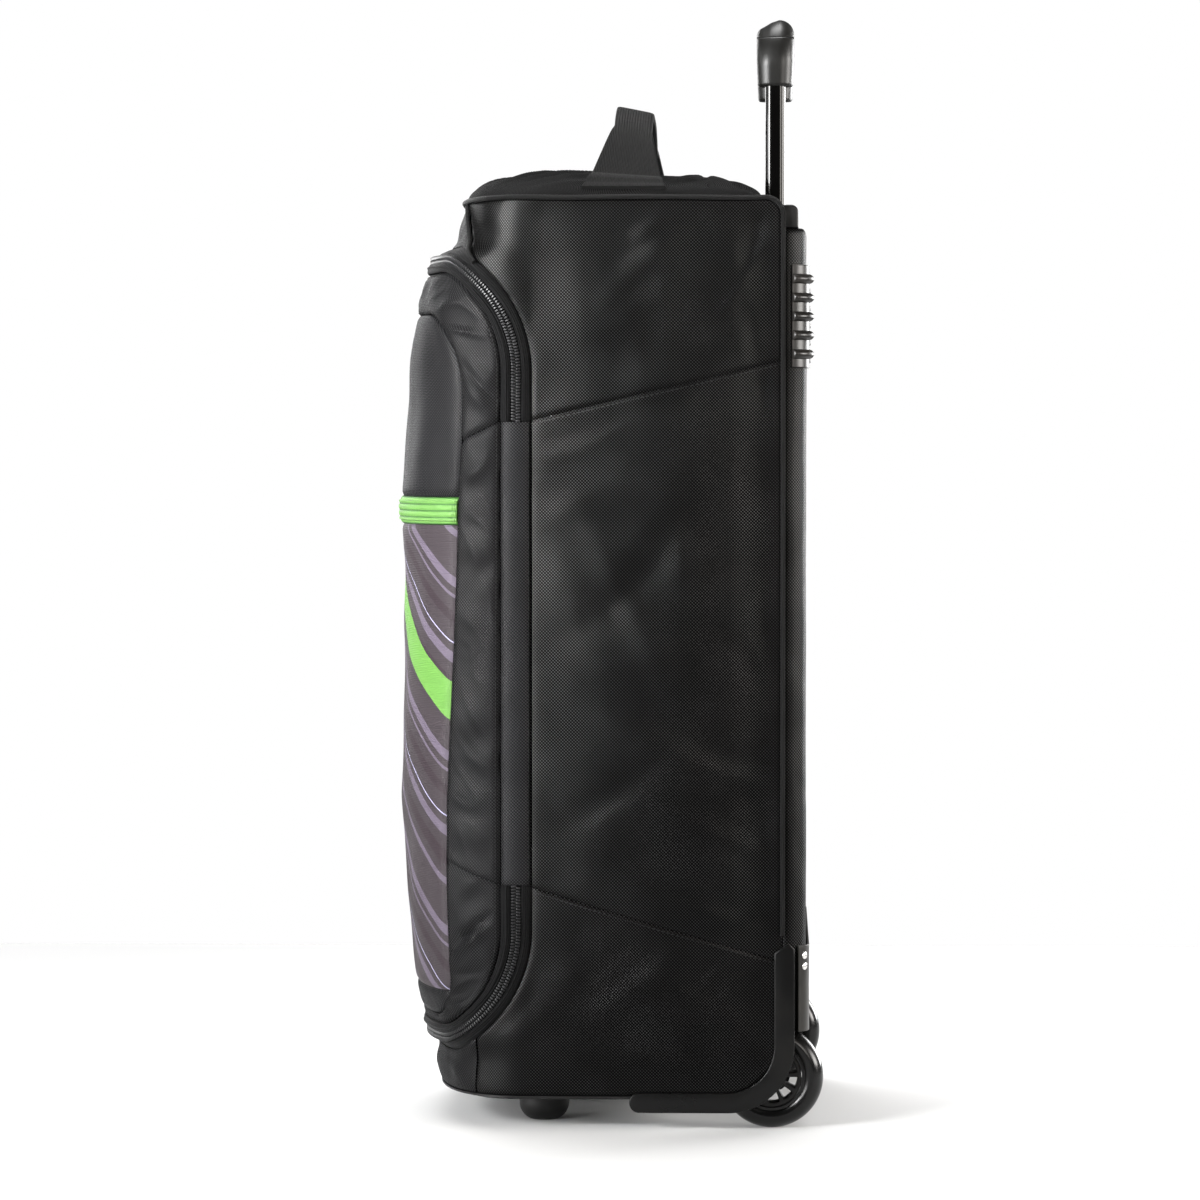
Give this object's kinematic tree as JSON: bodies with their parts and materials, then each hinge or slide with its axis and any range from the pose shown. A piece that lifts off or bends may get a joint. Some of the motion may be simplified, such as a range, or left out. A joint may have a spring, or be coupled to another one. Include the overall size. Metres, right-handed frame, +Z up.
{
  "type": "wheeled kit bag",
  "caption": "Wheeled kit bag: soft hollow body with a zipped rounded lid, webbing carry handle, telescopic handle, corner rails and skate-style wheels.",
  "frame": {"origin": "on the floor, below the middle of the whole bag's box", "axes": "+Z up, -Y to the lid at the front, +Y to the telescopic handle and the wheels"},
  "size_m": [0.3756, 0.3436, 0.881],
  "materials": {
    "bag_cloth": "charcoal polyester cloth with a fine diagonal twill, satin",
    "twill_cloth": "charcoal polyester twill, matt",
    "lid_print": "aubergine-charcoal cloth printed with slanting stripes",
    "lime_zip": "bright lime nylon coil zip on lime tape",
    "black_zip": "black nylon zip teeth",
    "webbing": "black ribbed polypropylene webbing",
    "piping": "black cloth-covered cord",
    "anodised_tube": "gloss black tube",
    "moulded_plastic": "black moulded plastic, lightly textured",
    "painted_steel": "satin black painted steel",
    "bright_steel": "bright plated steel",
    "tyre_rubber": "smooth black polyurethane",
    "wheel_hub": "moulded nylon, satin"
  },
  "bodies": {
    "bag": {"axle_bolt_left": "bright_steel", "axle_bolt_right": "bright_steel", "back_panel": "bag_cloth", "base_rail_left": "painted_steel", "base_rail_right": "painted_steel", "bottom_panel": "moulded_plastic", "corner_skid_left": "moulded_plastic", "corner_skid_right": "moulded_plastic", "edge_piping": "piping", "foot_left": "moulded_plastic", "foot_right": "moulded_plastic", "front_low_panel": "bag_cloth", "front_piping_left": "piping", "front_piping_right": "piping", "front_top_panel": "bag_cloth", "handle_plate": "moulded_plastic", "kick_plate": "painted_steel", "lid_chin_panel": "twill_cloth", "lid_gusset_left": "twill_cloth", "lid_gusset_lower": "twill_cloth", "lid_gusset_right": "twill_cloth", "lid_gusset_upper": "twill_cloth", "lid_pocket_zip": "lime_zip", "lid_print_panel": "lid_print", "lid_top_panel": "twill_cloth", "outer_tube_left": "anodised_tube", "outer_tube_right": "anodised_tube", "rivet_left_1": "bright_steel", "rivet_left_2": "bright_steel", "rivet_right_1": "bright_steel", "rivet_right_2": "bright_steel", "side_lower_left": "bag_cloth", "side_lower_right": "bag_cloth", "side_middle_left": "bag_cloth", "side_middle_right": "bag_cloth", "side_upper_left": "bag_cloth", "side_upper_right": "bag_cloth", "top_handle": "webbing", "top_panel": "bag_cloth", "wheel_bracket_left": "painted_steel", "wheel_bracket_right": "painted_steel", "wheel_tray": "moulded_plastic", "zip_band_lower": "twill_cloth", "zip_band_upper": "twill_cloth", "zip_chain_lower": "black_zip", "zip_chain_upper": "black_zip", "zip_placket_left": "twill_cloth", "zip_placket_right": "twill_cloth"},
    "trolley_handle": {"inner_tube_left": "anodised_tube", "inner_tube_right": "anodised_tube", "handle_grip": "moulded_plastic", "release_button": "moulded_plastic"},
    "wheel_left": {"wheel_tyre_left": "tyre_rubber", "wheel_hub_left": "wheel_hub"},
    "wheel_right": {"wheel_tyre_right": "tyre_rubber", "wheel_hub_right": "wheel_hub"}
  },
  "joints": [
    {"name": "trolley_extend", "type": "slide", "parent": "bag", "child": "trolley_handle", "axis": [0, 0, 1], "range_m": [-0.075, 0.21]},
    {"name": "wheel_left_spin", "type": "hinge", "parent": "bag", "child": "wheel_left", "pos_m": [-0.158, 0.131, 0.041], "axis": [1, 0, 0], "continuous": true},
    {"name": "wheel_right_spin", "type": "hinge", "parent": "bag", "child": "wheel_right", "pos_m": [0.158, 0.131, 0.041], "axis": [1, 0, 0], "continuous": true}
  ]
}
